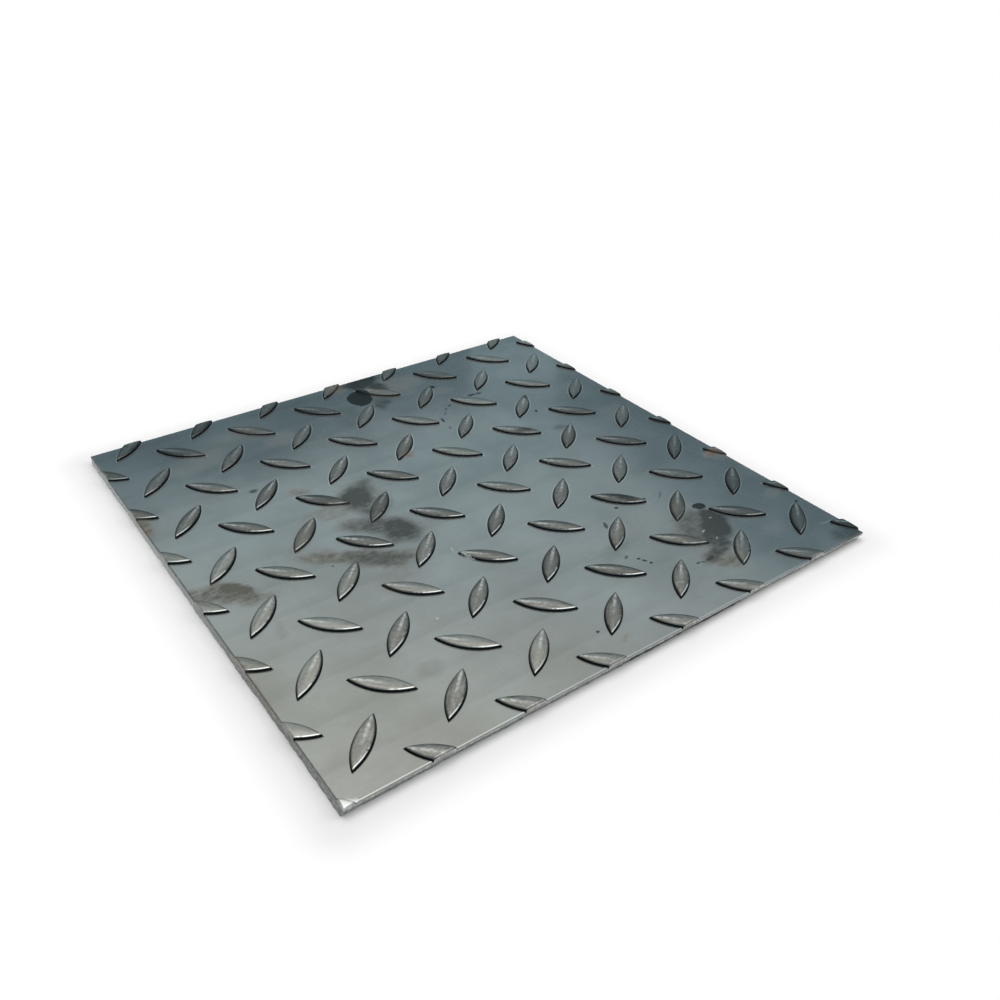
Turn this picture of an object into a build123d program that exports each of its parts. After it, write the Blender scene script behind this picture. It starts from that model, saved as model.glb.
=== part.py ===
from build123d import *
from math import ceil, cos, radians
import os

# Checker plate: a square of mild steel, rolled flat with lens-shaped lugs raised on its upper face,
# then sheared to size. Millimetres, +Z up, origin at the middle of the underside.

# The plate as it leaves the shear. The blade cuts a smooth band and the rest breaks off at a slant,
# so the underside lies a little to the left and to the back of the upper face
plate_length = 300.0  # along X, over the slanting breaks
plate_width = 300.0  # along Y, over the slanting breaks
plate_thickness = 4.5  # between the lugs
edge_roll = 0.8  # radius that the blade leaves along the upper edges
smooth_band = 1.7  # down from the upper face, with the rolled edge
break_lean = 1.0  # how far the break slants from the band to the underside

# One lug: a lens of two equal arcs, with steep walls and a barrelled crown
lug_length = 30.2
lug_width = 8.3
lug_height = 1.5  # at the middle of the crown
lug_crown_radius = 18.0  # across the lug
lug_wall_lean = 20.0  # degrees from upright
lug_turn = 45.0  # degrees from the X axis, to the left and to the right by turns

# The rolled pattern, which runs a little out of square with the sheared edges
pitch_x = 43.3
pitch_y = 45.3
pattern_x = 2.1  # the left-turned lug nearest the middle of the plate
pattern_y = 11.2
row_skew = 0.84  # degrees
least_remnant = 2.0  # a cut lug shorter than this along X or Y is lost to the shear

# How far the solid of a lug runs into the plate below the rolled edge, and past its own crown
lug_overlap = 0.4


with BuildPart() as lug:
    with BuildSketch() as lug_outline:
        with BuildLine():
            ThreePointArc((lug_length / 2, 0), (0, lug_width / 2), (-lug_length / 2, 0))
            ThreePointArc((-lug_length / 2, 0), (0, -lug_width / 2), (lug_length / 2, 0))
        make_face()
    extrude(amount=lug_height + lug_overlap, taper=lug_wall_lean)
    extrude(lug_outline.sketch, amount=-(edge_roll + lug_overlap))
    with BuildSketch(Plane.YZ):
        with Locations((0, lug_height - lug_crown_radius)):
            Circle(lug_crown_radius)
    extrude(amount=lug_length, both=True, mode=Mode.INTERSECT)


def lug_places():
    """Where each lug goes: rows and columns of left-turned lugs, with a right-turned lug in each gap."""
    along_row = Vector(pitch_x, 0, 0).rotate(Axis.Z, row_skew)
    along_column = Vector(0, pitch_y, 0)
    columns = ceil(plate_length / pitch_x)
    rows = ceil(plate_width / pitch_y)
    lug_reach = lug_length / 2 * cos(radians(lug_turn))
    limit_x = plate_length / 2 + lug_reach - least_remnant
    limit_y = plate_width / 2 + lug_reach - least_remnant
    places = []
    for half_step, turn in ((0, lug_turn), (0.5, -lug_turn)):
        for column in range(-columns, columns + 1):
            for row in range(-rows, rows + 1):
                centre = Vector(pattern_x, pattern_y, plate_thickness)
                centre += along_row * (column + half_step) + along_column * (row + half_step)
                if abs(centre.X) < limit_x and abs(centre.Y) < limit_y:
                    places.append(Location(centre, (0, 0, turn)))
    return places


def sheared_block(height):
    """The steel between the cuts up to a height: the leaning break, the smooth band, the rolled edge."""
    break_height = plate_thickness - smooth_band
    break_way = Vector(break_lean, -break_lean, break_height)
    with BuildSketch() as underside:
        with Locations((-break_lean / 2, break_lean / 2)):
            Rectangle(plate_length - break_lean, plate_width - break_lean)
    extrude(underside.sketch, amount=break_way.length, dir=break_way)
    extrude(faces().sort_by(Axis.Z)[-1], amount=height - break_height)
    fillet(edges().group_by(Axis.Z)[-1], radius=edge_roll)


with BuildPart() as shear_space:
    sheared_block(plate_thickness + lug_height)

with BuildPart() as lug_field:
    with Locations(lug_places()):
        add(lug.part)
    add(shear_space.part, mode=Mode.INTERSECT)

with BuildPart() as checker_plate:
    sheared_block(plate_thickness)
    add(lug_field.part)

checker_plate.part.label = "checker_plate"

os.makedirs("parts", exist_ok=True)
export_step(checker_plate.part, "parts/checker_plate.step")
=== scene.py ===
from math import radians, tan

import bpy
import numpy as np
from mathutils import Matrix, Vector
from mathutils.geometry import delaunay_2d_cdt
from mathutils.noise import noise_vector, seed_set


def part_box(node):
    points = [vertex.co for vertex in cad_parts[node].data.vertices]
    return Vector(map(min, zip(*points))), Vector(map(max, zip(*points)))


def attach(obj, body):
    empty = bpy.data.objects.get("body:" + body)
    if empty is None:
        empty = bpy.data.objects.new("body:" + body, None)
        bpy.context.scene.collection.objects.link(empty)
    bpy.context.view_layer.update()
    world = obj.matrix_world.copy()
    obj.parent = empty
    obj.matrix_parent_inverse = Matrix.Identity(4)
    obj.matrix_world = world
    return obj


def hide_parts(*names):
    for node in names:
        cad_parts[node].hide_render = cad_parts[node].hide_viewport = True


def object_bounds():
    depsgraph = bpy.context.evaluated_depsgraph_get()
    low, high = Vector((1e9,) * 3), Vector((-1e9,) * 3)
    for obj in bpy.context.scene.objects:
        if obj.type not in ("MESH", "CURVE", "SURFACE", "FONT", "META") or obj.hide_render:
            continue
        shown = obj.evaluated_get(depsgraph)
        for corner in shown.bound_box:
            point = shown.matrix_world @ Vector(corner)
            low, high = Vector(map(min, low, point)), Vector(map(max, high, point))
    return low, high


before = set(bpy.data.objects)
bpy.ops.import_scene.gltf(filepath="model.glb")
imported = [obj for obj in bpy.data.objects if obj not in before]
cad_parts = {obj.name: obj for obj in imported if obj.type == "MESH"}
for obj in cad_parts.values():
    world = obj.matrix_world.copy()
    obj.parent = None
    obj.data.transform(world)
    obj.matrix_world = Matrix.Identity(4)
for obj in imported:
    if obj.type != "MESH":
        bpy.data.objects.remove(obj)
cad_low, cad_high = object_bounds()


# The rolled pattern.
# The plate leaves the mill with lens-shaped lugs raised on its upper face, turned left and right by
# turns. They are the plate's own metal, with steep walls and a low crown. Sizes are in millimetres.
MM = 0.001
plate_high = np.array(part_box("checker_plate")[1]) / MM
LUG_HEIGHT = 1.5
FACE_HEIGHT = plate_high[2] - LUG_HEIGHT  # of the flats between the lugs
LUG_LENGTH = 30.2
LUG_WIDTH = 8.3
LUG_TURN = 45.0  # degrees from the X axis, to the left and to the right by turns
WALL_LEAN = 15.0  # degrees from upright
CROWN_DROP = 0.28  # from the ridge to the shoulders
SHOULDER_ROUND = 0.7
FOOT_ROUND = 0.3
PITCH_X = 43.3
PITCH_Y = 45.3
FIRST_LUG = np.array([2.1, 11.2])  # the left-turned lug nearest the middle of the plate
ROW_SKEW = 0.84  # degrees
COLUMN_NUMBERS = 10  # from one column to the next, so that each lug has a number of its own

# Each lug is a lens of two equal arcs.
ARC_RADIUS = (LUG_LENGTH**2 + LUG_WIDTH**2) / (4 * LUG_WIDTH)
ARC_OFFSET = ARC_RADIUS - LUG_WIDTH / 2

# The steps along a row and along a column. Left-turned lugs stand at whole steps, and right-turned
# ones half a step on from them both ways.
LATTICE = np.array([
    [PITCH_X * np.cos(radians(ROW_SKEW)), PITCH_X * np.sin(radians(ROW_SKEW))],
    [0.0, PITCH_Y],
])
LUG_FAMILIES = ((0.0, radians(LUG_TURN)), (0.5, radians(-LUG_TURN)))


def inside_lens(along, across):
    """How far a point in a lug's own frame lies inside the lug's outline."""
    return ARC_RADIUS - np.hypot(along, np.abs(across) + ARC_OFFSET)


def nearest_lug(points):
    """Each point's place along and across its nearest lug, and a number for that lug."""
    best = None
    for half_step, turn in LUG_FAMILIES:
        cell = np.round((points - FIRST_LUG) @ np.linalg.inv(LATTICE) - half_step)
        from_centre = points - FIRST_LUG - (cell + half_step) @ LATTICE
        along = from_centre @ [np.cos(turn), np.sin(turn)]
        across = from_centre @ [-np.sin(turn), np.cos(turn)]
        number = cell[:, 0] * COLUMN_NUMBERS + cell[:, 1] + half_step
        found = np.stack([along, across, number], axis=1)
        if best is None:
            best = found
        else:
            nearer = inside_lens(along, across) > inside_lens(best[:, 0], best[:, 1])
            best = np.where(nearer[:, None], found, best)
    return best


def blended_min(a, b, width):
    """The lower of two heights, rounded off where they cross."""
    overlap = np.clip(width - np.abs(a - b), 0, None)
    return np.minimum(a, b) - overlap**2 / (4 * width)


def lug_rise(inside):
    """Height of a lug above the flats, from the distance inside its outline."""
    wall = inside / tan(radians(WALL_LEAN))
    crown = LUG_HEIGHT - CROWN_DROP * (1 - inside / (LUG_WIDTH / 2)) ** 2
    body = blended_min(wall, crown, SHOULDER_ROUND)
    return -blended_min(-body, 0.0, FOOT_ROUND)


# The sheared outline.
# The blade drags the upper edge down into a small round, cuts a smooth band and then tears the rest
# off at a slant, so the underside lies a little to the left and to the back of the upper face. The
# front left corner is knocked down.
BREAK_LEAN = 1.0
EDGE_ROLL = 0.8
CORNER_ALONG = np.array([8.0, 4.8])  # how far the knock reaches along the front and the left edge
CORNER_DROP = 1.5
OUTLINE_CENTRE = np.array([BREAK_LEAN, -BREAK_LEAN]) / 2
OUTLINE_HALF = plate_high[:2] - BREAK_LEAN / 2
FRONT_LEFT = OUTLINE_CENTRE - OUTLINE_HALF
LEFT_EDGE, FRONT_EDGE = FRONT_LEFT
random = np.random.default_rng(seed=7)


def from_edge(points):
    """How far each point lies inside the outline of the upper face."""
    return (OUTLINE_HALF - np.abs(points - OUTLINE_CENTRE)).min(axis=-1)


def knocked(points):
    """How deep into the knocked corner each point lies, from 0 at its rim to 1 at the corner."""
    return np.clip(1 - ((points - FRONT_LEFT) / CORNER_ALONG).sum(axis=-1), 0, 1)


def wander(places, shortest, longest, waves=9):
    """A smooth, uneven line between about -1 and 1 along an edge."""
    total = np.zeros(len(places))
    for length in np.geomspace(shortest, longest, waves):
        total += np.sin(places * 2 * np.pi / length + random.uniform(0, 2 * np.pi))
    return total / waves**0.75  # the waves never all crest together


def top_height(points):
    """Height of the upper face at each point, with the lugs, the rolled edge and the knock."""
    place = nearest_lug(points)
    rise = lug_rise(inside_lens(place[:, 0], place[:, 1]))
    short_of_roll = np.clip(EDGE_ROLL - np.clip(from_edge(points), 0, None), 0, None)
    drop = EDGE_ROLL - np.sqrt(EDGE_ROLL**2 - short_of_roll**2)
    return FACE_HEIGHT + rise - drop - CORNER_DROP * knocked(points)


# The plate as one mesh.
# Contours of every lug, lines along the rolled edges and a net of points over the flats are joined
# into one skin over the upper face. The sheared faces hang from its border, and the flat underside
# closes it.
EDGE_INSETS = (0.0, 0.03, 0.1, 0.22, 0.4, 0.6, 0.85)  # of the lines along the rolled edge
EDGE_STEP = 1.5
KNOCK_RIMS = (1.0, 0.95, 0.7, 0.4)  # lines across the knocked corner, as shares of its reach
ARC_PARTS = 16  # of each arc of a line round a lug
LUG_REACH = LUG_LENGTH / 3  # along X or Y from the middle of a lug, less a sliver of its tip
NET_STEP = 2.2  # between the loose points over the flats
NET_STRAY = 0.25  # how far a point of the net strays, as a share of the step
MERGE = 1e-4
ON_BORDER = 2 * MERGE  # a point as near the outline as this lies on it
ALL_TRIANGLES = 0  # of the whole drawing, also those past the outline

# How far inside the outline of a lug each line round it lies. The first four lie outside it.
LUG_CONTOURS = (
    -1.2, -0.3, -0.14, -0.04, 0.06, 0.16, 0.26, 0.35, 0.44, 0.55, 0.7, 0.9, 1.2, 2.0, 3.0, 3.8)
NET_START = 1.5 * LUG_CONTOURS[0]  # no point of the net lies nearer to a lug than this


class Drawing:
    """Points and lines in the plane of the plate."""

    def __init__(self):
        self.points = []
        self.lines = []

    def add(self, points, closed):
        first = len(self.points)
        count = len(points)
        self.points.extend(Vector(p) for p in points)
        self.lines.extend((first + n, first + n + 1) for n in range(count - 1))
        if closed:
            self.lines.append((first + count - 1, first))


def lens_contour(inside):
    """The lug's outline drawn that far inside, from tip to tip and back."""
    radius = ARC_RADIUS - inside
    half_turn = np.arccos(ARC_OFFSET / radius)
    angles = np.linspace(half_turn, -half_turn, ARC_PARTS + 1)
    upper = np.stack([radius * np.sin(angles), radius * np.cos(angles) - ARC_OFFSET], axis=1)
    lower = -upper[1:-1]
    return np.concatenate([upper, lower])


def draw_lugs(drawing):
    reach = int(OUTLINE_HALF.max() / min(PITCH_X, PITCH_Y)) + 1
    contours = [lens_contour(inside) for inside in LUG_CONTOURS]
    tips = [contour[0][0] for contour in contours]
    ridge = np.array([(along, 0.0) for along in sorted([-t for t in tips] + tips)])
    for half_step, turn in LUG_FAMILIES:
        spin = np.array([[np.cos(turn), np.sin(turn)], [-np.sin(turn), np.cos(turn)]])
        for column in range(-reach, reach + 1):
            for row in range(-reach, reach + 1):
                centre = FIRST_LUG + (np.array([column, row]) + half_step) @ LATTICE
                if np.all(np.abs(centre - OUTLINE_CENTRE) < OUTLINE_HALF + LUG_REACH):
                    for contour in contours:
                        drawing.add(contour @ spin + centre, closed=True)
                    drawing.add(ridge @ spin + centre, closed=False)


def draw_edges(drawing):
    for inset in EDGE_INSETS:
        x, y = OUTLINE_HALF - inset
        corners = np.array([(-x, -y), (x, -y), (x, y), (-x, y)]) + OUTLINE_CENTRE
        loop = []
        for start, end in zip(corners, np.roll(corners, -1, axis=0)):
            parts = int(np.linalg.norm(end - start) / EDGE_STEP)
            loop.extend(start + (end - start) * n / parts for n in range(parts))
        drawing.add(loop, closed=True)
    for reach in KNOCK_RIMS:
        rim = FRONT_LEFT + reach * CORNER_ALONG * np.array([(1.0, 0.0), (0.5, 0.5), (0.0, 1.0)])
        drawing.add(rim, closed=False)


def draw_net(drawing):
    """Loose points all over the flats, fine enough to carry the stains."""
    along_x, along_y = (
        np.arange(-half + NET_STEP, half - NET_STEP / 2, NET_STEP) for half in OUTLINE_HALF)
    net = np.stack(np.meshgrid(along_x, along_y), axis=-1).reshape(-1, 2) + OUTLINE_CENTRE
    net += random.uniform(-NET_STRAY, NET_STRAY, net.shape) * NET_STEP
    place = nearest_lug(net)
    on_flats = inside_lens(place[:, 0], place[:, 1]) < NET_START
    drawing.points.extend(Vector(p) for p in net[on_flats])


def upper_skin():
    """Points and triangles of the upper face, cut off at the sheared outline."""
    drawing = Drawing()
    draw_edges(drawing)
    draw_lugs(drawing)
    draw_net(drawing)
    joined_points, _, joined_faces = delaunay_2d_cdt(
        drawing.points, drawing.lines, [], ALL_TRIANGLES, MERGE, False)[:3]
    points = np.array([(p.x, p.y) for p in joined_points])
    faces = np.array(joined_faces)
    kept = faces[from_edge(points[faces].mean(axis=1)) > 0]
    used, faces = np.unique(kept, return_inverse=True)
    return points[used], faces.reshape(-1, 3)


def round_the_border(points):
    """The border's points in order round the outline, anticlockwise from the front left corner."""
    border = np.flatnonzero(from_edge(points) < ON_BORDER)
    x, y = (points[border] - OUTLINE_CENTRE).T
    half_x, half_y = OUTLINE_HALF
    at_front = y < -half_y + ON_BORDER
    at_right = x > half_x - ON_BORDER
    at_back = y > half_y - ON_BORDER
    way = np.select(
        [at_front, at_right, at_back],
        [x + half_x, 2 * half_x + y + half_y, 3 * half_x + 2 * half_y - x],
        4 * half_x + 3 * half_y - y)
    order = np.argsort(way)
    return border[order], way[order]


skin_points, skin_faces = upper_skin()
border, way_round = round_the_border(skin_points)
border_points = skin_points[border]
outward = np.sign(border_points - OUTLINE_CENTRE) * (
    np.abs(border_points - OUTLINE_CENTRE) > OUTLINE_HALF - ON_BORDER)

# The shear's smooth band ends at an uneven height, lower at the knocked corner. Under it the tear
# draws the face in, the more toward the right end of the front and the back end of the left side.
BAND_FOOT = 2.7
BAND_SWAY = 0.35
BAND_KNOCK = 0.3  # share of its height that the knocked corner takes away
TEAR = 0.35
TEAR_SWAY = 0.35
TEAR_LEAST = 0.02
TEAR_TO_RIGHT = 0.7
TEAR_TO_BACK = 0.5
RAGGED = 0.1
BURR = 0.3
BURR_SWAY = 0.2
BURR_LEAST = 0.1
band_foot = BAND_FOOT + BAND_SWAY * wander(way_round, 6, 150)
band_foot *= 1 - BAND_KNOCK * knocked(border_points)
tear = np.clip(TEAR + TEAR_SWAY * wander(way_round, 4, 90), TEAR_LEAST, None)
right_share, back_share = np.clip(border_points / OUTLINE_HALF, 0, 1).T
tear += TEAR_TO_RIGHT * right_share * (outward[:, 1] < 0)
tear += TEAR_TO_BACK * back_share * (outward[:, 0] < 0)
ragged = RAGGED * wander(way_round, 2, 6)
burr = np.clip(BURR + BURR_SWAY * wander(way_round, 4, 40), BURR_LEAST, None)

# Rows of the sheared faces: height, and how far the tear draws them in.
cut_rows = (
    (band_foot + 0.12, 0.0 * tear),  # foot of the smooth band
    (band_foot - 0.05, 0.12 + 0.25 * tear),  # the step where the tear starts
    (band_foot * 0.7, 0.1 + 0.4 * tear + ragged),
    (band_foot * 0.4, 0.05 + 0.7 * tear - ragged),
    (burr, 0.8 * tear),  # the burr along the foot
    (0.0 * burr, tear),  # the underside
)

vertices = [np.column_stack([skin_points, top_height(skin_points)])]
faces = [tuple(face) for face in skin_faces.tolist()]
above = border
for heights, inset in cut_rows:
    first = sum(len(part) for part in vertices)
    lean = BREAK_LEAN * np.clip(1 - heights / band_foot, 0, None)[:, None] * np.array([-1, 1])
    ring = border_points + lean - outward * np.clip(inset, 0, None)[:, None]
    vertices.append(np.column_stack([ring, heights]))
    below = first + np.arange(len(border))
    for n in range(len(border)):
        after = (n + 1) % len(border)
        faces.append((above[n], below[n], below[after], above[after]))
    above = below
faces.append(tuple(above[::-1]))
vertices = np.concatenate(vertices)

mesh = bpy.data.meshes.new("checker_plate_steel")
mesh.from_pydata(vertices * MM, [], [[int(v) for v in face] for face in faces])
mesh.update()
plate = bpy.data.objects.new("checker_plate_steel", mesh)
bpy.context.scene.collection.objects.link(plate)

TOP, SHEARED, UNDER = 0, 1, 2
top_count = len(skin_faces)
finish_of_face = np.full(len(faces), SHEARED)
finish_of_face[:top_count] = TOP
finish_of_face[-1] = UNDER
mesh.polygons.foreach_set("material_index", finish_of_face.astype(np.int32))
mesh.polygons.foreach_set("use_smooth", finish_of_face != UNDER)

# Exact slopes of the upper face keep the flats flat in reflections; the other faces find their own.
SLOPE_STEP = 0.01
slope_x = top_height(skin_points + [SLOPE_STEP, 0]) - top_height(skin_points - [SLOPE_STEP, 0])
slope_y = top_height(skin_points + [0, SLOPE_STEP]) - top_height(skin_points - [0, SLOPE_STEP])
normals = np.column_stack([-slope_x, -slope_y, np.full(len(skin_points), 2 * SLOPE_STEP)])
normals /= np.linalg.norm(normals, axis=1)[:, None]
corner_normals = np.zeros((len(mesh.loops), 3))
corner_normals[:3 * top_count] = normals[skin_faces.ravel()]
mesh.normals_split_custom_set(corner_normals.tolist())

# Where each point lies on its lug, for the finishes.
on_skin = slice(len(skin_points))
lug_place = np.zeros((len(vertices), 3))
lug_place[on_skin] = nearest_lug(skin_points)
inside = np.full(len(vertices), -LUG_WIDTH)
inside[on_skin] = inside_lens(lug_place[on_skin, 0], lug_place[on_skin, 1])
mesh.attributes.new("lug_place", "FLOAT_VECTOR", "POINT").data.foreach_set("vector", lug_place.ravel())
mesh.attributes.new("inside_lug", "FLOAT", "POINT").data.foreach_set("value", inside)

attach(plate, "root")
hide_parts("checker_plate")


# Mill scale.
# The flats carry the thin blue-grey oxide of hot rolling, smooth and half glossy, in slow clouds
# of tone. The rolls leave a fine grain and faint lines in it, along the rows of lugs.
def add_node(tree, kind, inputs=None, **settings):
    """A node with its settings and inputs, where an input is a value or another node's output."""
    made = tree.nodes.new(kind)
    for name, value in settings.items():
        setattr(made, name, value)
    for name, value in (inputs or {}).items():
        if isinstance(value, bpy.types.NodeSocket):
            tree.links.new(value, made.inputs[name])
        else:
            made.inputs[name].default_value = value
    return made


def math(tree, operation, a, b=0.0, clamp=False):
    return add_node(tree, "ShaderNodeMath", {0: a, 1: b}, operation=operation, use_clamp=clamp).outputs[0]


def mix(tree, amount, a, b, blend="MIX"):
    """Two colours mixed. The mixing node has them at its sockets 6 and 7."""
    made = add_node(tree, "ShaderNodeMix", {0: amount, 6: a, 7: b}, data_type="RGBA", blend_type=blend)
    return made.outputs[2]


def noise(tree, where, scale, detail, roughness=0.5, output="Fac"):
    made = add_node(tree, "ShaderNodeTexNoise", {
        "Vector": where, "Scale": scale, "Detail": detail, "Roughness": roughness})
    return made.outputs[output]


def ramp(tree, value, low, high, to_low=0.0, to_high=1.0, kind="SMOOTHSTEP"):
    """A value eased from one range into another."""
    made = add_node(tree, "ShaderNodeMapRange", {
        "Value": value, "From Min": low, "From Max": high, "To Min": to_low, "To Max": to_high},
        interpolation_type=kind)
    return made.outputs["Result"]


def scaled(tree, where, scale):
    return add_node(tree, "ShaderNodeMapping", {"Vector": where, "Scale": scale}).outputs["Vector"]


def grey(level):
    return (level, level, level, 1)


def grey_of(tree, level):
    """The grey that has another node's output as its level."""
    made = add_node(tree, "ShaderNodeCombineColor", {"Red": level, "Green": level, "Blue": level})
    return made.outputs["Color"]


def new_finish(name):
    """A material with its node tree, its shader and the place on the plate in millimetres."""
    material = bpy.data.materials.new(name)
    material.use_nodes = True
    tree = material.node_tree
    shader = tree.nodes["Principled BSDF"]
    metres = add_node(tree, "ShaderNodeTexCoord").outputs["Object"]
    return material, tree, shader, scaled(tree, metres, (1 / MM, 1 / MM, 1 / MM))


SCALE_BLUE = (0.303, 0.322, 0.322, 1)
SCALE_WARM = (0.318, 0.318, 0.295, 1)
SCALE_SHINE = 0.93  # as metal, the rest as grey oxide
# The flats turn bluer to the right and to the back, a painted tint of the bluish reflection there.
PAINTED_BLUE_TO_RIGHT = 0.004  # for each millimetre
PAINTED_BLUE_TO_BACK = 0.003
CLOUD_SCALE = 0.016  # for each millimetre, as in every noise on the plate
CLOUD_SPREAD = (0.3, 0.7)
CLOUD_TONES = (0.92, 1.12)
CLOUD_ROUGHNESS = (0.24, 0.31)
ROLL_MARK = 1.2  # the first faint line that the rolls leave, two to each row of lugs
ROLL_SWAY = 8.0  # how far such a line runs from straight
ROLL_DEPTH = (0.02, 0.07)  # how much darker it is, at the right and at the left
GRAIN_DEPTH = 0.015


def mill_scale(tree, where):
    """The colour and roughness of the bare flats, warmest at the front left, a painted reflection tint.
    """
    clouds = noise(tree, where, CLOUD_SCALE, 4.0, 0.6)
    parts = add_node(tree, "ShaderNodeSeparateXYZ", {"Vector": where})
    bluer_by_cloud_and_reflection = math(tree, "ADD", math(tree, "MULTIPLY", parts.outputs["X"], PAINTED_BLUE_TO_RIGHT), clouds)
    bluer_by_cloud_and_reflection = math(tree, "ADD", math(tree, "MULTIPLY", parts.outputs["Y"], PAINTED_BLUE_TO_BACK), bluer_by_cloud_and_reflection)
    colour = mix(tree, ramp(tree, bluer_by_cloud_and_reflection, -0.5, 0.3), SCALE_WARM, SCALE_BLUE)

    sway = math(tree, "MULTIPLY", noise(tree, where, 0.01, 0.0), ROLL_SWAY)
    rolled = math(tree, "SUBTRACT", parts.outputs["Y"], ROLL_MARK + ROLL_SWAY / 2)
    rolled = math(tree, "ADD", rolled, sway)
    rolled = math(tree, "FRACT", math(tree, "DIVIDE", rolled, PITCH_Y / 2))
    roll_mark = math(tree, "MULTIPLY", ramp(tree, rolled, 0.0, 0.1), ramp(tree, rolled, 0.5, 0.1))
    roll_depth = ramp(tree, parts.outputs["X"], 90.0, -30.0, *ROLL_DEPTH)
    roll_mark = math(tree, "MULTIPLY", roll_mark, roll_depth)
    tone = math(tree, "SUBTRACT", ramp(tree, clouds, *CLOUD_SPREAD, *CLOUD_TONES), roll_mark)
    grain = noise(tree, scaled(tree, where, (0.12, 0.5, 1.0)), 1.0, 2.0, 0.6)
    tone = math(tree, "ADD", tone, ramp(tree, grain, 0.3, 0.7, -GRAIN_DEPTH, GRAIN_DEPTH))
    colour = mix(tree, 1.0, colour, grey_of(tree, tone), "MULTIPLY")
    return colour, ramp(tree, clouds, *CLOUD_SPREAD, *CLOUD_ROUGHNESS)


top_finish, tree, shader, where = new_finish("mill_scale_and_lugs")
flats, flat_roughness = mill_scale(tree, where)


# The lugs.
# Their crowns are duller and warmer than the flats, with rolling strokes along them, a line round
# the shoulder of dirt and painted shade, and near-black walls, dark oxide with painted shade. Feet
# and wheels have rubbed one side of each shoulder bright toward one tip, and the ridge toward the
# other, and both carry a painted highlight too.
LUG_DARK = (0.11, 0.106, 0.098, 1)
LUG_PALE = (0.33, 0.318, 0.292, 1)
# Worn bright steel, also painted as highlights on rims, ridges, lug feet and the knocked corner
WORN_AND_HIGHLIGHT = (0.8, 0.8, 0.78, 1)
# Dirt, and painted shade, along the shoulder
SHOULDER_DIRT_AND_SHADE = (0.03, 0.031, 0.03, 1)
# Near-black oxide of the walls, with painted shade
WALL_DARK = (0.006, 0.007, 0.008, 1)
CROWN_ROUGHNESS = (0.34, 0.28)  # of its dark strokes and of its pale ones
RIM_ROUGHNESS = 0.28
WALL_ROUGHNESS = 0.6
# of the painted shade in the rolled edge
EDGE_SHADE_ROUGHNESS = 0.5
BACK_WEIGHT = 1.2  # how much a millimetre to the back counts beside one to the right

inside_lug = add_node(tree, "ShaderNodeAttribute", attribute_name="inside_lug").outputs["Fac"]
on_lug = add_node(tree, "ShaderNodeAttribute", attribute_name="lug_place").outputs["Vector"]
on_lug_parts = add_node(tree, "ShaderNodeSeparateXYZ", {"Vector": on_lug})
across = on_lug_parts.outputs["Y"]
number = on_lug_parts.outputs["Z"]
this_lug = add_node(
    tree, "ShaderNodeTexWhiteNoise", {"W": number}, noise_dimensions="1D").outputs["Value"]
parts = add_node(tree, "ShaderNodeSeparateXYZ", {"Vector": where})
to_back = math(tree, "MULTIPLY", parts.outputs["Y"], BACK_WEIGHT)
to_back_right = math(tree, "ADD", parts.outputs["X"], to_back)

# A right-turned lug has a half in its number. It is worn, with a painted highlight, toward its
# other tip.
turned_right = math(tree, "GREATER_THAN", math(tree, "FRACT", number), 0.25)
bright_tip_way = ramp(tree, turned_right, 0, 1, -1, 1, "LINEAR")
to_bright_tip = math(tree, "MULTIPLY", on_lug_parts.outputs["X"], bright_tip_way)

# The walls are painted near black, dark oxide with painted shade. The dark of a wall starts a
# little further up it toward the back right.
crown = ramp(tree, inside_lug, 0.22, 0.4)
wall_dark_lift = ramp(tree, to_back_right, -180.0, 60.0, 0.0, 0.08)
wall = ramp(tree, math(tree, "SUBTRACT", inside_lug, wall_dark_lift), -0.35, -0.1)
wall = math(tree, "SUBTRACT", wall, crown, clamp=True)

# The crowns: strokes along them, a mottle, and a tone of its own for each lug.
strokes = noise(tree, scaled(tree, on_lug, (0.1, 1.1, 1.0)), 1.0, 3.0, 0.6)
mottle = noise(tree, where, 0.5, 3.0, 0.65)
crown_tone = math(tree, "MULTIPLY", strokes, 0.5)
crown_tone = math(tree, "ADD", crown_tone, math(tree, "MULTIPLY", mottle, 0.35))
crown_tone = math(tree, "ADD", crown_tone, math(tree, "MULTIPLY", this_lug, 0.2))

# The lugs across the middle of the plate are the dirtiest; the dirt fades out toward the front left
# and the back right.
dirtiest = ramp(tree, math(tree, "ABSOLUTE", to_back_right), 200.0, 50.0, 0.0, 0.13)
crown_tone = math(tree, "SUBTRACT", crown_tone, dirtiest)
lugs = mix(tree, ramp(tree, crown_tone, 0.28, 0.68), LUG_DARK, LUG_PALE)
lugs = mix(tree, ramp(tree, inside_lug, 1.2, 3.0, 0.0, 0.25), lugs, LUG_PALE)

# The ridge is rubbed bright in spots, with a painted highlight, toward the tip away from the rim.
ridge = ramp(tree, math(tree, "ABSOLUTE", across), 1.2, 0.1)
ridge = math(tree, "MULTIPLY", ridge, ramp(tree, to_bright_tip, 4.0, -6.0))
ridge = math(tree, "MULTIPLY", ridge, ramp(tree, mottle, 0.35, 0.65, 0.15, 0.6))
lugs = mix(tree, ridge, lugs, WORN_AND_HIGHLIGHT)

# Dirt and painted shade along the shoulder, a little less of them at the front left.
shoulder_dirt_and_shade = ramp(tree, inside_lug, 1.3, 0.55)
shoulder_dirt_and_shade = math(tree, "MULTIPLY", shoulder_dirt_and_shade, ramp(tree, to_back_right, -220.0, -60.0, 0.65, 0.85))
lugs = mix(tree, shoulder_dirt_and_shade, lugs, SHOULDER_DIRT_AND_SHADE)

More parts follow.
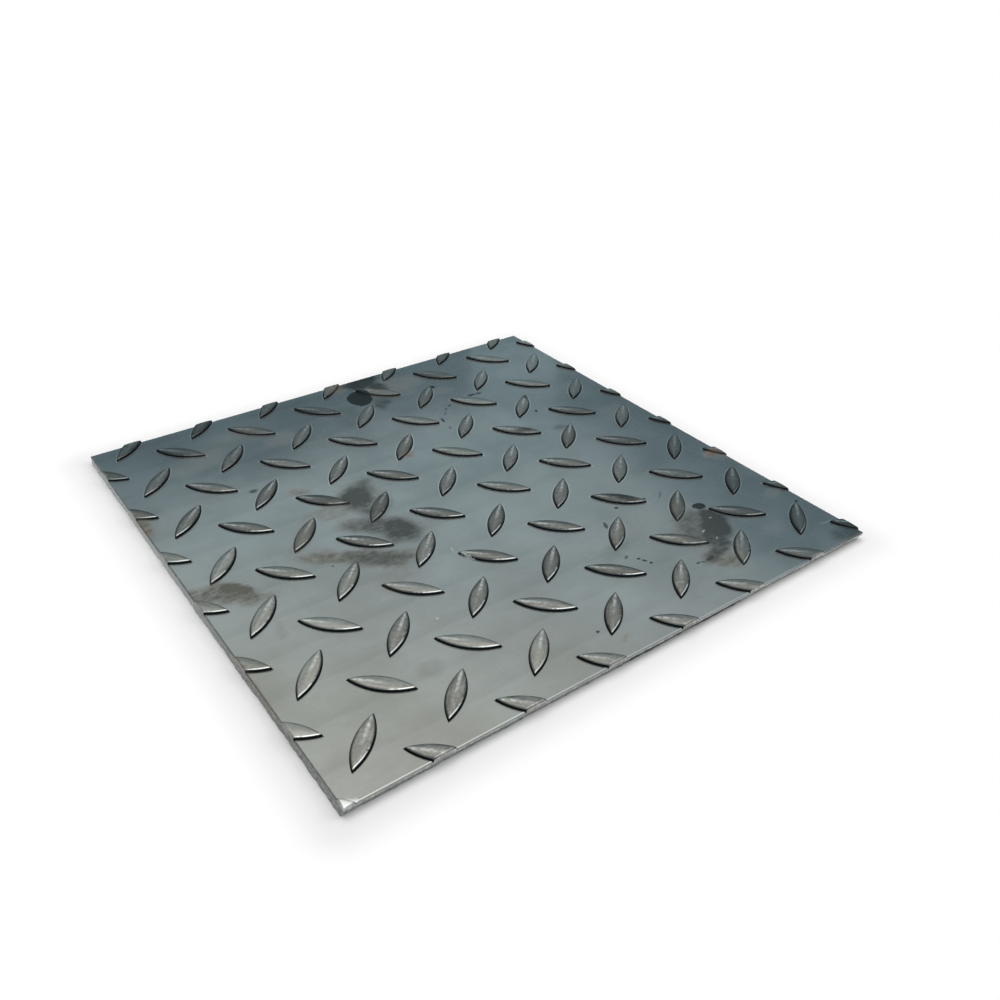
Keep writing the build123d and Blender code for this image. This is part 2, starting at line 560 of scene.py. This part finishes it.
# The bright rim of the shoulder, worn steel with a painted highlight, on one side of the lug and
# toward its bright tip, strongest at the front left.
rim = math(tree, "MULTIPLY", ramp(tree, inside_lug, 0.36, 0.46), ramp(tree, inside_lug, 1.15, 0.75))
rim = math(tree, "MULTIPLY", rim, ramp(tree, across, 0.2, -0.3))
rubbed_and_lit = math(tree, "ADD", to_bright_tip, math(tree, "MULTIPLY", mottle, 18.0))
rim = math(tree, "MULTIPLY", rim, ramp(tree, rubbed_and_lit, 10.0, 18.0, 0.0, 0.85))
rim = math(tree, "MULTIPLY", rim, ramp(tree, to_back_right, 60.0, -110.0, 0.2, 1.0))
lugs = mix(tree, rim, lugs, WORN_AND_HIGHLIGHT)

# A painted highlight: a pale line on the flats round the foot of each lug, toward the back right.
foot_highlight = ramp(tree, inside_lug, -0.95, -0.5)
foot_highlight = math(tree, "MULTIPLY", foot_highlight, ramp(tree, inside_lug, 0.0, -0.2))
foot_highlight = math(
    tree, "MULTIPLY", foot_highlight, ramp(tree, to_back_right, -120.0, 60.0, 0.0, 0.4))
flats = mix(tree, foot_highlight, flats, WORN_AND_HIGHLIGHT)

# Painted shade sits in the rolled edge at the left, and at the right end of the front, a dark
# reflection painted as colour.
EDGE_SHADE_FROM = 0.9  # in from the edge, where it starts
EDGE_SHADE_FULL = 0.3  # and where it is full
edge_shade = math(
    tree, "MULTIPLY",
    ramp(tree, parts.outputs["Y"], FRONT_EDGE + EDGE_SHADE_FROM, FRONT_EDGE + EDGE_SHADE_FULL),
    ramp(tree, parts.outputs["X"], 80.0, 130.0))
edge_shade = math(
    tree, "MAXIMUM", edge_shade,
    ramp(tree, parts.outputs["X"], LEFT_EDGE + EDGE_SHADE_FROM, LEFT_EDGE + EDGE_SHADE_FULL))
edge_shade = math(tree, "MULTIPLY", edge_shade, ramp(tree, mottle, 0.3, 0.6, 0.3, 0.75))
flats = mix(tree, edge_shade, flats, LUG_DARK)
colour = mix(tree, crown, flats, lugs)
colour = mix(tree, wall, colour, WALL_DARK)

# The knocked corner is rubbed bright, with a painted highlight.
CORNER = LEFT_EDGE + BACK_WEIGHT * FRONT_EDGE
rubbed_and_lit_corner = ramp(tree, to_back_right, CORNER + 8.0, CORNER + 2.0, 0.0, 0.45)
colour = mix(tree, rubbed_and_lit_corner, colour, WORN_AND_HIGHLIGHT)
crown_roughness = ramp(tree, crown_tone, 0.33, 0.62, *CROWN_ROUGHNESS)
roughness = mix(tree, crown, flat_roughness, crown_roughness)
roughness = mix(tree, rim, roughness, grey(RIM_ROUGHNESS))
roughness = mix(tree, wall, roughness, grey(WALL_ROUGHNESS))
roughness = mix(tree, edge_shade, roughness, grey(EDGE_SHADE_ROUGHNESS))


# Stains.
# Hand marks, spilt oil, brown film and a little rust, put where the plate has them. Each mark is
# its middle, half length, half width, turn in degrees and strength. The larger ones are painted on
# the mesh point by point, and the dots and scratches are drawn in the finish.
SPILT_OIL = (
    (10.7, 125, 9.5, 7.4, 80, 1.0), (98.3, -85.3, 3.4, 2.0, -20, 0.9),
    (55.5, 112.2, 1.6, 1.3, 0, 0.9),
)
OIL_SMEARS = (
    (21, 145, 13, 8, 0, 1.4), (27, 134, 9, 5, -60, 1.0), (17, 138, 7, 2.5, 0, 0.7),
    (-44, -12.5, 14, 9, -62, 1.0), (-50, -5, 12, 8, -45, 0.7), (-57, 1, 10, 6, -40, 0.5),
    (-45, 25, 14, 9.5, 68, 1.1), (-38, 34, 9, 5, 45, 0.6), (-49, 13, 9, 6, 75, 0.6),
    (92.5, -101, 14, 7.5, 66, 1.4), (84, -110, 13, 7, 55, 0.95), (77, -118.5, 14, 4, 22, 0.8),
    (82, -99, 15, 11, 50, 0.5), (19, 110, 8, 5, 60, 0.6), (-130, -12, 10, 5, -50, 0.25),
    (-141, -11, 9, 4, -30, 0.2), (-7.7, 106, 16, 9, 60, 0.25), (144, -146, 12, 6, 0, 0.5),
    (69, -56.5, 7, 3, -42, 0.9), (-63, -28, 16, 7, -24, 0.6), (-71, -21, 10, 4, -40, 0.5),
    (38, -90, 12, 6, 20, 0.2), (-63, 33, 12, 3.5, -45, 0.6), (71.5, 31.5, 6, 2.8, -15, 0.8),
    (91, 24, 5, 4, 0, 0.4), (-40.5, 11, 16, 5, 45, 0.4),
)
GRIME = (
    (-134, -14, 18, 9, -42, 1.1), (-130, -11, 8, 4.5, -42, 1.9), (-146, -4, 8, 5, -30, 0.9),
    (-121, -23, 8, 4, -10, 0.6),
    (-86, -13, 15, 7, -38, 1.0), (-74, -21, 13, 7, -40, 1.0), (-61, -29, 18, 9, -24, 1.0),
    (-62, -44, 15, 10, 20, 0.45), (-57, 1, 13, 8, -35, 0.75), (-60, 20, 17, 7, -12, 0.65),
    (-46, 25, 19, 14, 65, 0.6), (-43, -12, 18, 13, -60, 0.5), (-77, 23.5, 8, 2.5, 20, 0.5),
    (-70.3, 47.5, 6.5, 5, -20, 0.85), (-112, 65, 4, 3, 0, 0.5), (-149, 62, 4.5, 12, 0, 1.1),
    (-53, 106, 10, 7, 0, 0.3), (74, -125, 12, 8, -52, 1.0), (84, -100, 22, 15, 60, 0.6),
    (60, -77, 14, 7, 30, 0.25), (115, -121, 10, 7, 0, 0.2), (-125, -49.5, 2.4, 8, 0, 0.35),
    (-86, -107, 6, 4, 0, 0.3), (139, -98.5, 6, 4, 0, 0.4), (-86.5, 10, 19, 5, 45, 0.5),
    (30, 128, 18, 12, -40, 0.5), (5, 144, 10, 6, 40, 0.6), (0, 48, 4, 3, 0, 0.8),
    (147, -53, 6, 5, 0, 0.6), (130, 20, 14, 9, 30, 0.2), (-100, 110, 20, 9, 20, 0.25),
    (-72, 124, 18, 9, -20, 0.3), (46, 130, 13, 9, -30, 0.3), (60, 105, 7, 5, 0, 0.25),
)
RUST = (
    (143, -50, 5, 2.6, 0, 0.65), (-5, -140, 3.2, 1.8, 20, 0.45), (0, 47, 2.6, 2, 0, 0.5),
    (-148.5, 60, 2.4, 6, 0, 0.4), (6, 144, 7, 3, 40, 0.3), (-149.5, -70, 1.6, 30, 0, 0.4),
)
DOTS = (
    (36.6, 61, 2.2, 0.8, 80, 0.6), (38.2, 71.5, 3.4, 1.2, 75, 0.9), (44, 77.5, 2.2, 0.8, 45, 0.7),
    (47.5, 82, 2.2, 0.8, 40, 0.6), (52.2, 85, 2.4, 0.9, 35, 0.7), (71.5, 89, 3.8, 1.4, -5, 1),
    (76.5, 88.4, 2.6, 1.2, -10, 1), (97, 66, 5.0, 2.2, 62, 0.8), (92.4, 48.5, 2.0, 1.0, 60, 1),
    (-88.8, 62.6, 3.0, 2.2, 0, 0.7), (-11.9, -130, 1.3, 1.0, 0, 0.9), (45.3, -70, 3.6, 1.3, 65, 0.8),
    (35.7, -96.4, 2.4, 1.0, 30, 0.6), (39.8, -100.8, 1.3, 0.9, 0, 0.9),
    (41.2, -103.5, 1.7, 1.0, -50, 0.9),
    (42.7, -106.6, 1.3, 0.9, 0, 0.9), (144.6, -111.4, 1.4, 1.0, 0, 0.9), (61.4, -120, 1.6, 0.8, 0, 0.8),
    (64, -120.7, 1.6, 0.8, -20, 0.8), (69, -120.7, 4.0, 1.5, 10, 0.9), (60.8, -61, 1.5, 1.2, 0, 0.9),
    (78.8, -63, 1.3, 1.0, 0, 0.9), (88.7, -65, 4.5, 0.9, 40, 0.4), (-85, -20.8, 0.9, 0.7, 0, 0.8),
)
SCRATCHES = (
    (-28, -51.5, 8, 0.5, 110, 0.8), (-30.5, -42, 2.5, 0.4, 75, 0.7), (141.5, -133.3, 6.5, 0.6, -8, 0.7),
    (83, -102.5, 2.5, 0.6, 30, 0.6), (84.5, -110.5, 1.5, 0.5, 50, 0.6), (95, -96, 1.2, 0.5, 0, 0.6),
    (83, -62, 3, 0.3, 20, 0.4), (60, -5, 9, 0.3, 33, 0.25), (-20, 70, 7, 0.3, -60, 0.25),
    (42, -127, 4, 0.4, -35, 0.6), (-64.9, -81.8, 1.1, 1.1, 0, 0.5),
)
OIL_COLOUR = (0.032, 0.036, 0.035, 1)
GRIME_COLOUR = (0.085, 0.081, 0.064, 1)
RUST_COLOUR = (0.13, 0.067, 0.032, 1)
DOT_COLOUR = (0.03, 0.03, 0.028, 1)
SCRATCH_COLOUR = (0.62, 0.62, 0.6, 1)
GRIME_ROUGHNESS = 0.5
OIL_ROUGHNESS = 0.35
RUST_ROUGHNESS = 0.8
STAINED_SHINE = 0.35
STAIN_REACH = 1.2  # where a painted stain ends, as a share of its size
STAIN_FADE = 0.6  # the share over which it fades
STAIN_SEED = 7  # draws the slow noise, so that each stain always gets the same uneven shape
MARK_HEIGHT = 3 * LUG_HEIGHT  # so that a small mark runs on over a lug


def pushed(points, size, amount):
    """Points moved about by a slow noise, so that what is drawn round them gets an uneven shape."""
    moves = [noise_vector((x / size, y / size, 0.0))[:2] for x, y in points]
    return points + amount * np.array(moves)


def painted(tree, name, points, places):
    """The strongest of the stains at each point of the upper face, as a value for the finish."""
    strongest = np.zeros(len(vertices))
    for x, y, half_length, half_width, turn, strength in places:
        offset = points - [x, y]
        cosine, sine = np.cos(radians(turn)), np.sin(radians(turn))
        along = offset @ [cosine, sine] / half_length
        across = offset @ [-sine, cosine] / half_width
        stain = strength * np.clip((STAIN_REACH - np.hypot(along, across)) / STAIN_FADE, 0, 1)
        strongest[on_skin] = np.maximum(strongest[on_skin], stain)
    mesh.attributes.new(name, "FLOAT", "POINT").data.foreach_set("value", strongest)
    return add_node(tree, "ShaderNodeAttribute", attribute_name=name).outputs["Fac"]


def vector_math(tree, operation, a, b=(0.0, 0.0, 0.0)):
    return add_node(tree, "ShaderNodeVectorMath", {0: a, 1: b}, operation=operation)


def marks(tree, where, places, soft):
    """The strongest small mark at each point, fading over the outer share of its size."""
    strongest = None
    for x, y, half_length, half_width, turn, strength in places:
        local = add_node(tree, "ShaderNodeMapping", {
            "Vector": where, "Location": (x, y, FACE_HEIGHT), "Rotation": (0, 0, radians(turn)),
            "Scale": (half_length, half_width, MARK_HEIGHT)}, vector_type="TEXTURE").outputs["Vector"]
        reach = vector_math(tree, "LENGTH", local).outputs["Value"]
        mark = ramp(tree, reach, 1.0, 1.0 - soft, 0.0, strength)
        strongest = mark if strongest is None else math(tree, "MAXIMUM", strongest, mark)
    return strongest


def warped(tree, where, scale, amount):
    """The place on the plate, pushed about by a noise so that marks get uneven rims."""
    push = noise(tree, where, scale, 4.0, 0.6, "Color")
    push = vector_math(tree, "SUBTRACT", push, (0.5, 0.5, 0.5)).outputs["Vector"]
    push = vector_math(tree, "MULTIPLY", push, (amount, amount, 0)).outputs["Vector"]
    return vector_math(tree, "ADD", where, push).outputs["Vector"]


# Stains are wiped thin in patches and along strokes. Those of grime and of smeared oil share their
# uneven shapes, large and small.
seed_set(STAIN_SEED)
smeared = pushed(pushed(skin_points, 16.0, 4.0), 6.0, 1.6)
patches = math(tree, "MULTIPLY", noise(tree, where, 0.3, 4.0, 0.7), 0.6)
wiped = noise(tree, scaled(tree, where, (0.12, 0.45, 1.0)), 1.0, 3.0, 0.6)
patchy = math(tree, "ADD", patches, math(tree, "MULTIPLY", wiped, 0.4))
uneven = ramp(tree, patchy, 0.35, 0.65, -0.35, 0.35, "LINEAR")

film = painted(tree, "grime", smeared, GRIME)
film = math(tree, "MULTIPLY", film, math(tree, "ADD", uneven, 0.75))
smears = painted(tree, "oil_smears", smeared, OIL_SMEARS)
smears = math(tree, "MULTIPLY", smears, math(tree, "ADD", uneven, 0.9))
smears = math(tree, "MINIMUM", smears, 0.85)
spilt = painted(tree, "spilt_oil", pushed(skin_points, 9.0, 1.2), SPILT_OIL)
spilt = math(tree, "ADD", spilt, math(tree, "MULTIPLY", uneven, 0.2))
oil = math(tree, "MAXIMUM", smears, ramp(tree, spilt, 0.1, 0.25, 0.0, 0.97))
rust = painted(tree, "rust", pushed(skin_points, 5.0, 1.0), RUST)
rust = math(tree, "MULTIPLY", rust, math(tree, "ADD", uneven, 1.0))

speckled = warped(tree, where, 0.9, 1.6)
dots = marks(tree, speckled, DOTS, 0.5)
scratches = marks(tree, speckled, SCRATCHES, 0.8)
for mask, paint in (
        (film, GRIME_COLOUR), (oil, OIL_COLOUR), (rust, RUST_COLOUR), (dots, DOT_COLOUR),
        (scratches, SCRATCH_COLOUR)):
    colour = mix(tree, mask, colour, paint)
for mask, stained in ((film, GRIME_ROUGHNESS), (oil, OIL_ROUGHNESS), (rust, RUST_ROUGHNESS)):
    roughness = mix(tree, mask, roughness, grey(stained))
shine = mix(tree, math(tree, "MAXIMUM", film, rust), grey(SCALE_SHINE), grey(STAINED_SHINE))
tree.links.new(colour, shader.inputs["Base Color"])
tree.links.new(roughness, shader.inputs["Roughness"])
tree.links.new(shine, shader.inputs["Metallic"])


# The sheared faces.
# Bare cut steel gone dull: a smooth band above, drawn down by the blade, and under it a coarse grey
# break that darkens to the foot, a painted shade. The band is darker on the left side, a painted
# shade; the break is paler along the back part of the left side, a painted light, and near black
# along the middle of the front, a painted shadow.
CUT_SHINE = 0.75
BAND_COLOURS = ((0.28, 0.28, 0.27, 1), (0.62, 0.62, 0.6, 1))
BAND_LEFT_SHADE = (0.2, 0.2, 0.19, 1)
TORN_COLOURS = ((0.16, 0.158, 0.15, 1), (0.42, 0.415, 0.4, 1))
TORN_LIT = (0.6, 0.6, 0.58, 1)
TORN_SHADOW = (0.02, 0.02, 0.02, 1)
FOOT_SHADE = (0.03, 0.03, 0.028, 1)
SHADOW_MIDDLE = 22.0  # along the front
RAGGED_HEIGHT = 1.2  # the most that the grain of the break adds to the height of a point
TEAR_HEIGHTS = (3.1, 3.3)  # with that added, where the break gives way to the band
FOOT_HEIGHTS = (0.9, 0.4)  # and over which the break darkens
CUT_ROUGHNESS = (0.6, 0.4)  # of the break and of the band

sheared_finish, tree, shader, where = new_finish("sheared_steel")
shader.inputs["Metallic"].default_value = CUT_SHINE
drag = noise(tree, scaled(tree, where, (0.7, 0.7, 0.12)), 1.0, 4.0, 0.65)
coarse = noise(tree, where, 0.8, 5.0, 0.7)
parts = add_node(tree, "ShaderNodeSeparateXYZ", {"Vector": where})
to_right = parts.outputs["X"]
to_back = parts.outputs["Y"]
height = math(tree, "ADD", parts.outputs["Z"], math(tree, "MULTIPLY", coarse, RAGGED_HEIGHT))

smooth_band = mix(tree, ramp(tree, drag, 0.3, 0.7), *BAND_COLOURS)
# Painted shade: the band is darker on the left side.
left_shade = ramp(tree, to_right, LEFT_EDGE + 0.8, LEFT_EDGE - 0.2, 0.0, 0.6)
smooth_band = mix(tree, left_shade, smooth_band, BAND_LEFT_SHADE)

torn = mix(tree, ramp(tree, coarse, 0.3, 0.7), *TORN_COLOURS)
# Painted light: the break is paler along the back part of the left side.
left_light = math(tree, "MULTIPLY", ramp(tree, to_right, LEFT_EDGE + 1.0, LEFT_EDGE + 0.4),
                 ramp(tree, to_back, -90.0, 60.0, 0.0, 0.6))
torn = mix(tree, left_light, torn, TORN_LIT)
# A painted shadow: the break is near black along the middle of the front.
from_shadow_middle = math(tree, "ABSOLUTE", math(tree, "SUBTRACT", to_right, SHADOW_MIDDLE))
front_shadow = math(tree, "MULTIPLY", ramp(tree, from_shadow_middle, 45.0, 28.0, 0.0, 0.95),
                  ramp(tree, to_back, FRONT_EDGE + 4.0, FRONT_EDGE + 2.0))
torn = mix(tree, front_shadow, torn, TORN_SHADOW)

sheared = mix(tree, ramp(tree, height, *TEAR_HEIGHTS), torn, smooth_band)
# Painted shade: the break darkens to the foot.
sheared = mix(tree, ramp(tree, height, *FOOT_HEIGHTS, 0, 0.7), sheared, FOOT_SHADE)
tree.links.new(sheared, shader.inputs["Base Color"])
tree.links.new(ramp(tree, height, 3.0, 3.5, *CUT_ROUGHNESS), shader.inputs["Roughness"])


# The underside.
# The side that ran on the plain roll. It is flat, with no lugs, and carries the same mill scale as
# the flats above, without their stains.
under_finish, tree, shader, where = new_finish("mill_scale_underside")
shader.inputs["Metallic"].default_value = SCALE_SHINE
under_colour, under_roughness = mill_scale(tree, where)
tree.links.new(under_colour, shader.inputs["Base Color"])
tree.links.new(under_roughness, shader.inputs["Roughness"])

for finish in (top_finish, sheared_finish, under_finish):
    mesh.materials.append(finish)


# The floor.
# Plain and white, a hair below the underside. It keeps the plate's soft shadow and is pure white
# further off.
FLOOR_REACH = 3.0
FLOOR_DROP = 0.00005
FLOOR_PAINT = (0.78, 0.78, 0.78, 1)
SHADOW_REACH = (0.004, 0.021)  # metres from the plate over which its shadow gives way to white
floor_mesh = bpy.data.meshes.new("floor")
floor_corners = [(-1, -1), (1, -1), (1, 1), (-1, 1)]
floor_mesh.from_pydata(
    [(x * FLOOR_REACH, y * FLOOR_REACH, 0) for x, y in floor_corners], [], [(0, 1, 2, 3)])
floor = bpy.data.objects.new("floor", floor_mesh)
floor.location.z = -FLOOR_DROP
bpy.context.scene.collection.objects.link(floor)

floor_finish = bpy.data.materials.new("white_table")
floor_finish.use_nodes = True
tree = floor_finish.node_tree
tree.nodes.remove(tree.nodes["Principled BSDF"])
paint = add_node(tree, "ShaderNodeBsdfDiffuse", {"Color": FLOOR_PAINT})
white = add_node(tree, "ShaderNodeEmission", {"Color": grey(1.0), "Strength": 1.0})
rays = add_node(tree, "ShaderNodeLightPath")
seen = math(tree, "MAXIMUM", rays.outputs["Is Camera Ray"], rays.outputs["Is Glossy Ray"])
seen = math(tree, "MAXIMUM", seen, rays.outputs["Is Transmission Ray"])

# How far each point lies beside the plate.
place = add_node(tree, "ShaderNodeTexCoord").outputs["Object"]
beside = vector_math(tree, "ABSOLUTE", place).outputs["Vector"]
beside = vector_math(tree, "SUBTRACT", beside, cad_high).outputs["Vector"]
beside = vector_math(tree, "MAXIMUM", beside).outputs["Vector"]
far_off = vector_math(tree, "LENGTH", beside).outputs["Value"]
whiteness = math(tree, "MULTIPLY", seen, ramp(tree, far_off, *SHADOW_REACH))
blend = add_node(tree, "ShaderNodeMixShader", {0: whiteness, 1: paint.outputs[0], 2: white.outputs[0]})
tree.links.new(blend.outputs[0], tree.nodes["Material Output"].inputs["Surface"])
floor_mesh.materials.append(floor_finish)


# The studio.
# A wide soft lamp overhead toward the back, and a softer one from the right, which don't show in
# the steel. Two dark cards stand just outside the plate behind it and beside it, as is done to give
# shiny metal its shading. Sizes are in metres.
def soft_lamp(name, place, size, watts):
    """A lamp that points at the middle of the plate."""
    lamp = bpy.data.lights.new(name, "AREA")
    lamp.shape = "SQUARE"
    lamp.size = size
    lamp.energy = watts
    holder = bpy.data.objects.new(name, lamp)
    holder.location = place
    holder.rotation_euler = (-Vector(place)).to_track_quat("-Z", "Y").to_euler()
    holder.visible_glossy = False
    bpy.context.scene.collection.objects.link(holder)


soft_lamp("overhead_lamp", (0.15, 0.45, 1.45), 1.2, 12.5)
soft_lamp("side_lamp", (1.3, -0.6, 1.2), 0.8, 8)

CARD_HEIGHT = 0.1
CARD_BEHIND_HEIGHT = 0.075
CARD_FOOT = (0.18, 0.27, 0.31, 1)
CARD_HEAD = (0.26, 0.385, 0.44, 1)
card_finish = bpy.data.materials.new("dark_card")
card_finish.use_nodes = True
tree = card_finish.node_tree
tree.nodes.remove(tree.nodes["Principled BSDF"])
place = add_node(tree, "ShaderNodeTexCoord").outputs["Object"]
height = add_node(tree, "ShaderNodeSeparateXYZ", {"Vector": place}).outputs["Z"]
dark = mix(tree, ramp(tree, height, 0.0, CARD_HEIGHT), CARD_FOOT, CARD_HEAD)
dark = add_node(tree, "ShaderNodeEmission", {"Color": dark, "Strength": 1.0})
tree.links.new(dark.outputs[0], tree.nodes["Material Output"].inputs["Surface"])


def dark_card(name, start, end, height):
    """A card that stands on the line from start to end and shows only in reflections."""
    card_mesh = bpy.data.meshes.new(name)
    corners = [(*start, 0), (*end, 0), (*end, height), (*start, height)]
    card_mesh.from_pydata(corners, [], [(0, 1, 2, 3)])
    card_mesh.materials.append(card_finish)
    card = bpy.data.objects.new(name, card_mesh)
    card.visible_camera = False
    card.visible_diffuse = False
    card.visible_shadow = False
    card.visible_transmission = False
    bpy.context.scene.collection.objects.link(card)


dark_card("card_behind", (-0.15, 0.168), (0.125, 0.168), CARD_BEHIND_HEIGHT)
dark_card("card_beside", (0.175, -0.15), (0.175, 0.13), CARD_HEIGHT)

# The room as the steel mirrors it: brightest overhead and in front, blue-grey low down, darker to
# the right. Its colours go from level, at 0, to straight up, at 1.
SKY = (
    (0.0, (0.22, 0.35, 0.42, 1)),
    (0.42, (0.27, 0.41, 0.47, 1)),
    (0.5, (0.35, 0.55, 0.62, 1)),
    (0.56, (0.59, 0.74, 0.77, 1)),
    (0.62, (0.85, 0.94, 0.95, 1)),
    (0.7, (0.93, 0.96, 0.94, 1)),
)
ROOM_LIGHT = 0.6  # on all that doesn't mirror the room
world = bpy.data.worlds.new("studio")
bpy.context.scene.world = world
world.use_nodes = True
tree = world.node_tree
rays = add_node(tree, "ShaderNodeLightPath")
seen = math(tree, "MAXIMUM", rays.outputs["Is Camera Ray"], rays.outputs["Is Transmission Ray"])
way = add_node(tree, "ShaderNodeSeparateXYZ", {
    "Vector": add_node(tree, "ShaderNodeTexCoord").outputs["Generated"]})
sky = add_node(tree, "ShaderNodeValToRGB", {"Fac": way.outputs["Z"]})
stops = sky.color_ramp.elements
while len(stops) < len(SKY):
    stops.new(1.0)
for stop, (level, tint) in zip(stops, SKY):
    stop.position = level
    stop.color = tint
overhead = ramp(tree, way.outputs["Z"], 0.72, 0.95, 1.0, 2.2)
at_right = ramp(tree, way.outputs["X"], 0.42, 1.0, 1.0, 0.3)
in_front = ramp(tree, way.outputs["Y"], 0.05, -0.4, 1.0, 1.7)
bright = math(tree, "MULTIPLY", math(tree, "MULTIPLY", overhead, at_right), in_front)
mirrored = mix(tree, 1.0, sky.outputs["Color"], grey_of(tree, bright), "MULTIPLY")
shown = mix(tree, rays.outputs["Is Glossy Ray"], grey(ROOM_LIGHT), mirrored)
shown = mix(tree, seen, shown, grey(1.0))
background = tree.nodes["Background"]
tree.links.new(shown, background.inputs["Color"])
background.inputs["Strength"].default_value = 1.0


# The camera.
# It looks down across the plate from beyond its front left corner, as someone who stands close by
# would, and leans a little to one side.
CAMERA_PLACE = Vector((-0.2387, -0.3616, 0.2851))
CAMERA_AIM = Vector((0.0148, -0.0199, 0.0045))
CAMERA_ROLL = 0.95  # degrees
CAMERA_SENSOR = 36
CAMERA_LENS = 34.45
camera = bpy.data.cameras.new("camera")
camera.sensor_width = CAMERA_SENSOR
camera.lens = CAMERA_LENS
camera_holder = bpy.data.objects.new("camera", camera)
camera_holder.location = CAMERA_PLACE
camera_holder.rotation_euler = (CAMERA_AIM - CAMERA_PLACE).to_track_quat("-Z", "Y").to_euler()
camera_holder.rotation_euler.rotate_axis("Z", radians(CAMERA_ROLL))
bpy.context.scene.collection.objects.link(camera_holder)
bpy.context.scene.camera = camera_holder

bpy.context.scene.view_settings.view_transform = "Standard"
